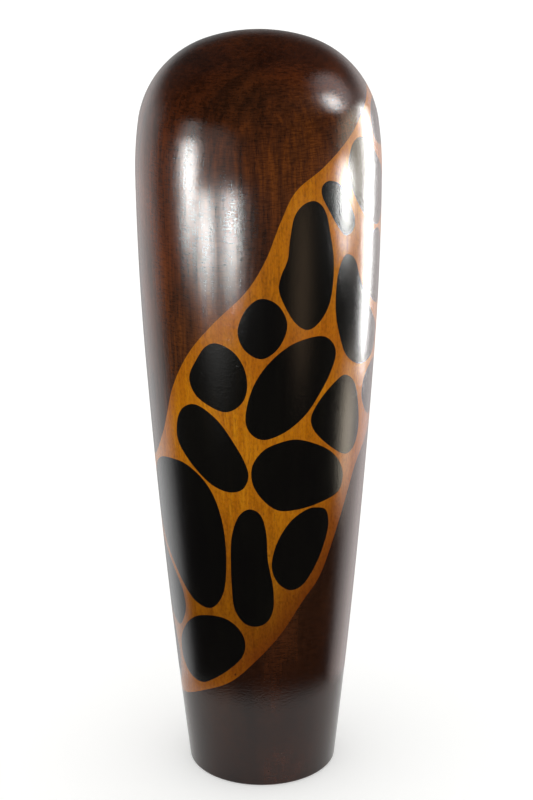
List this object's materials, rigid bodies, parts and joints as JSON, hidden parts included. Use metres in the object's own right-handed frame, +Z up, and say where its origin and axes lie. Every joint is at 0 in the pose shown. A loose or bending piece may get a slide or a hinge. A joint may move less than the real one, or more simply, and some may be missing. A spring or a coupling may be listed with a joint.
{
  "type": "rainstick",
  "caption": "Turned wooden rainstick: domed upper shell glued to a tapering cup, with a cross-pegged core spindle and loose seeds sealed inside.",
  "frame": {"origin": "centre of the foot ring, on the surface that the stick stands on", "axes": "+Z up along the turning axis, from the narrow foot to the domed crown"},
  "size_m": [0.156, 0.156, 0.5],
  "materials": {
    "turned_wood": "gloss lacquer over mottled brown stain, with an amber band and black rounded patches",
    "pale_dowel": "plain sanded",
    "bamboo": "plain split bamboo",
    "dry_seed": "dull dry husk"
  },
  "bodies": {
    "root": {"upper_shell": "turned_wood", "lower_cup": "turned_wood", "core_spindle": "pale_dowel", "peg_01": "bamboo", "peg_02": "bamboo", "peg_03": "bamboo", "peg_04": "bamboo", "peg_05": "bamboo", "peg_06": "bamboo", "peg_07": "bamboo", "peg_08": "bamboo", "peg_09": "bamboo", "peg_10": "bamboo", "peg_11": "bamboo", "peg_12": "bamboo", "peg_13": "bamboo", "peg_14": "bamboo", "peg_15": "bamboo", "peg_16": "bamboo", "peg_17": "bamboo", "peg_18": "bamboo", "peg_19": "bamboo", "peg_20": "bamboo", "peg_21": "bamboo", "peg_22": "bamboo", "peg_23": "bamboo", "peg_24": "bamboo", "peg_25": "bamboo", "peg_26": "bamboo", "peg_27": "bamboo", "peg_28": "bamboo", "peg_29": "bamboo", "peg_30": "bamboo", "peg_31": "bamboo", "peg_32": "bamboo", "peg_33": "bamboo", "peg_34": "bamboo", "peg_35": "bamboo", "peg_36": "bamboo", "peg_37": "bamboo"},
    "seed_group_01": {"seeds_01": "dry_seed"},
    "seed_group_02": {"seeds_02": "dry_seed"},
    "seed_group_03": {"seeds_03": "dry_seed"},
    "seed_group_04": {"seeds_04": "dry_seed"},
    "seed_group_05": {"seeds_05": "dry_seed"},
    "seed_group_06": {"seeds_06": "dry_seed"},
    "seed_group_07": {"seeds_07": "dry_seed"},
    "seed_group_08": {"seeds_08": "dry_seed"},
    "seed_group_09": {"seeds_09": "dry_seed"},
    "seed_group_10": {"seeds_10": "dry_seed"},
    "seed_group_11": {"seeds_11": "dry_seed"},
    "seed_group_12": {"seeds_12": "dry_seed"}
  },
  "joints": [
    {"name": "seed_fall_01", "type": "slide", "parent": "root", "child": "seed_group_01", "axis": [0, 0, 1], "range_m": [0, 0.447]},
    {"name": "seed_fall_02", "type": "slide", "parent": "root", "child": "seed_group_02", "axis": [0, 0, 1], "range_m": [0, 0.447]},
    {"name": "seed_fall_03", "type": "slide", "parent": "root", "child": "seed_group_03", "axis": [0, 0, 1], "range_m": [0, 0.447]},
    {"name": "seed_fall_04", "type": "slide", "parent": "root", "child": "seed_group_04", "axis": [0, 0, 1], "range_m": [0, 0.447]},
    {"name": "seed_fall_05", "type": "slide", "parent": "root", "child": "seed_group_05", "axis": [0, 0, 1], "range_m": [0, 0.447]},
    {"name": "seed_fall_06", "type": "slide", "parent": "root", "child": "seed_group_06", "axis": [0, 0, 1], "range_m": [0, 0.447]},
    {"name": "seed_fall_07", "type": "slide", "parent": "root", "child": "seed_group_07", "axis": [0, 0, 1], "range_m": [0, 0.447]},
    {"name": "seed_fall_08", "type": "slide", "parent": "root", "child": "seed_group_08", "axis": [0, 0, 1], "range_m": [0, 0.447]},
    {"name": "seed_fall_09", "type": "slide", "parent": "root", "child": "seed_group_09", "axis": [0, 0, 1], "range_m": [0, 0.447]},
    {"name": "seed_fall_10", "type": "slide", "parent": "root", "child": "seed_group_10", "axis": [0, 0, 1], "range_m": [0, 0.447]},
    {"name": "seed_fall_11", "type": "slide", "parent": "root", "child": "seed_group_11", "axis": [0, 0, 1], "range_m": [0, 0.447]},
    {"name": "seed_fall_12", "type": "slide", "parent": "root", "child": "seed_group_12", "axis": [0, 0, 1], "range_m": [0, 0.447]}
  ]
}
